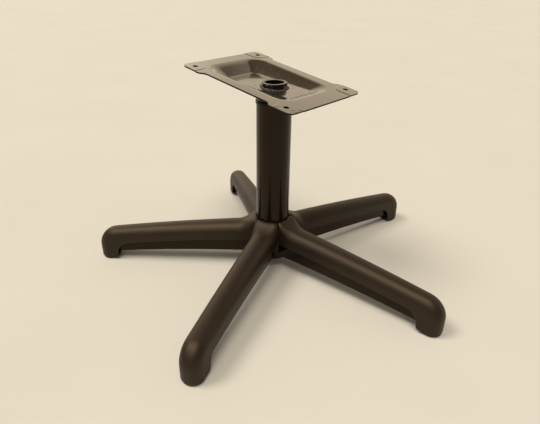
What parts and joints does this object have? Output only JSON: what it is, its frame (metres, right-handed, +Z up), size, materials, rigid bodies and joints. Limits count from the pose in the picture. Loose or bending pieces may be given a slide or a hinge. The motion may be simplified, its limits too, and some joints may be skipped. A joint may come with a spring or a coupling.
{
  "type": "office chair base",
  "caption": "Star-shaped swivel base of an office chair: a raked, dished seat plate on a black column, and channel legs under moulded covers with booted ends on glides.",
  "frame": {"origin": "on the floor, on the axis of the column", "axes": "+Z up along the column; +X along leg 1; the other legs follow every 72 degrees towards +Y"},
  "size_m": [0.6182, 0.6482, 0.3717],
  "materials": {
    "black_paint": "glossy black paint",
    "plate_paint": "worn semi-gloss black paint",
    "spindle_steel": "glossy black paint",
    "weld_bead": "rough painted weld",
    "bright_steel": "plain bright steel",
    "bearing_plastic": "black bearing plastic",
    "cover_plastic": "fine-grained satin charcoal plastic",
    "glide_plastic": "plain black plastic"
  },
  "bodies": {
    "base": {"column_tube": "black_paint", "upper_bush": "bearing_plastic", "lower_bush": "bearing_plastic", "thrust_washer": "bearing_plastic", "leg_beam_1": "black_paint", "leg_beam_2": "black_paint", "leg_beam_3": "black_paint", "leg_beam_4": "black_paint", "leg_beam_5": "black_paint", "leg_cover_1": "cover_plastic", "leg_cover_2": "cover_plastic", "leg_cover_3": "cover_plastic", "leg_cover_4": "cover_plastic", "leg_cover_5": "cover_plastic", "glide_pad_1": "glide_plastic", "glide_pad_2": "glide_plastic", "glide_pad_3": "glide_plastic", "glide_pad_4": "glide_plastic", "glide_pad_5": "glide_plastic", "glide_stem_1": "bright_steel", "glide_stem_2": "bright_steel", "glide_stem_3": "bright_steel", "glide_stem_4": "bright_steel", "glide_stem_5": "bright_steel", "glide_socket_1": "bearing_plastic", "glide_socket_2": "bearing_plastic", "glide_socket_3": "bearing_plastic", "glide_socket_4": "bearing_plastic", "glide_socket_5": "bearing_plastic"},
    "seat": {"seat_plate": "plate_paint", "spindle_tube": "spindle_steel", "spindle_weld": "weld_bead", "thrust_collar": "black_paint", "retaining_washer": "bright_steel", "retaining_ring": "bright_steel"}
  },
  "joints": [
    {"name": "seat_swivel", "type": "hinge", "parent": "base", "child": "seat", "pos_m": [0, 0, 0.3], "axis": [0, 0, 1], "continuous": true}
  ]
}
